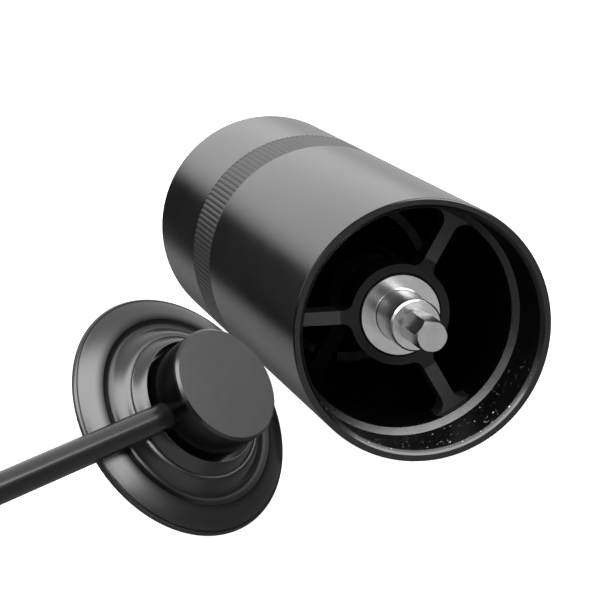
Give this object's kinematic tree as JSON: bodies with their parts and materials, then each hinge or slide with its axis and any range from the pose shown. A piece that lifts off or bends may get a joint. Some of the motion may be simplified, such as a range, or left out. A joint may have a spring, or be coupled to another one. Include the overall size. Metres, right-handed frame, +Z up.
{
  "type": "hand crank coffee grinder",
  "caption": "Cylindrical hand coffee grinder with a ribbed screw-on catch cup, three-arm hopper spider and hex drive shaft, and a separate dished lid with a rod crank and turning knob.",
  "frame": {"origin": "on the floor plane under the middle of the footprint of the barrel and the crank unit together", "axes": "+Z up; the barrel lies along Y with its open mouth towards -Y and its base towards +Y; +X towards the barrel's side away from the crank unit"},
  "size_m": [0.19, 0.2783, 0.052],
  "materials": {
    "black_body": "satin black coating",
    "black_lid": "satin black coating",
    "grey_spider": "fine matte dark coating",
    "dark_liner": "matte dark coating",
    "housing": "matte dark coating, turned",
    "steel": "satin turned",
    "burr_steel": "ground",
    "bearing_steel": "polished",
    "arm_coating": "satin black coating on steel",
    "knob_black": "matte",
    "dial_grey": "matte anodised",
    "rubber": "matte",
    "brass": "turned"
  },
  "bodies": {
    "barrel": {"outer_tube": "black_body", "hopper_liner": "dark_liner", "upper_spider": "grey_spider", "upper_bearing_outer_race": "bearing_steel", "upper_bearing_shields": "steel", "upper_bearing_circlip": "steel", "lower_spider": "grey_spider", "lower_bearing_outer_race": "bearing_steel", "lower_bearing_shields": "steel", "lower_bearing_circlip": "steel", "burr_housing": "housing", "outer_burr": "burr_steel", "burr_retainer": "steel", "burr_retainer_screws": "steel"},
    "shaft": {"drive_shaft": "steel", "shaft_collar": "steel", "upper_bearing_inner_race": "bearing_steel", "upper_bearing_balls": "bearing_steel", "lower_bearing_inner_race": "bearing_steel", "lower_bearing_balls": "bearing_steel", "burr_spring": "steel", "stud_clip": "steel"},
    "burr_carriage": {"inner_burr": "burr_steel", "click_plate": "steel"},
    "dial": {"adjust_dial": "dial_grey", "click_balls": "bearing_steel", "click_springs": "steel"},
    "seal_carriage": {"cup_seal": "rubber"},
    "cup": {"catch_cup": "black_body", "base_pad": "rubber"},
    "crank": {"lid": "black_lid", "hub_bezel": "black_lid", "crank_hub": "black_lid", "drive_socket": "steel", "crank_arm": "arm_coating", "arm_lock_pin": "steel", "lid_washer": "rubber", "lid_clamp_nut": "steel", "knob_pin": "steel", "knob_washer": "brass", "knob_clip": "steel"},
    "knob_body": {"knob": "knob_black", "knob_bushes": "brass", "knob_cap": "knob_black"}
  },
  "joints": [
    {"name": "shaft_spin", "type": "hinge", "parent": "barrel", "child": "shaft", "pos_m": [0.0688, 0.0209, 0.026], "axis": [0, -1, 0], "continuous": true},
    {"name": "burr_slide", "type": "slide", "parent": "shaft", "child": "burr_carriage", "axis": [0, -1, 0], "range_m": [0, 0.0012], "deforming": ["burr_spring"]},
    {"name": "dial_turn", "type": "hinge", "parent": "burr_carriage", "child": "dial", "pos_m": [0.0688, 0.0829, 0.026], "axis": [0, -1, 0], "range_deg": [0, 432.5]},
    {"name": "seal_slide", "type": "slide", "parent": "barrel", "child": "seal_carriage", "axis": [0, 1, 0], "range_m": [0, 0.01001]},
    {"name": "cup_turn", "type": "hinge", "parent": "seal_carriage", "child": "cup", "pos_m": [0.0688, 0.1089, 0.026], "axis": [0, 1, 0], "range_deg": [0, 1800]},
    {"name": "crank_lift", "type": "slide", "parent": "barrel", "child": "crank", "axis": [0, 0, 1], "range_m": [0, 0.12]},
    {"name": "knob_spin", "type": "hinge", "parent": "crank", "child": "knob_body", "pos_m": [-0.07813, -0.1211, 0.0176], "axis": [0.4566, -0.7045, 0.5433], "continuous": true}
  ],
  "couplings": [
    {"joint": "dial_turn", "follows": "burr_slide", "rad_per_m": 6283.2},
    {"joint": "seal_slide", "follows": "cup_turn", "m_per_rad": 0.00031831}
  ]
}
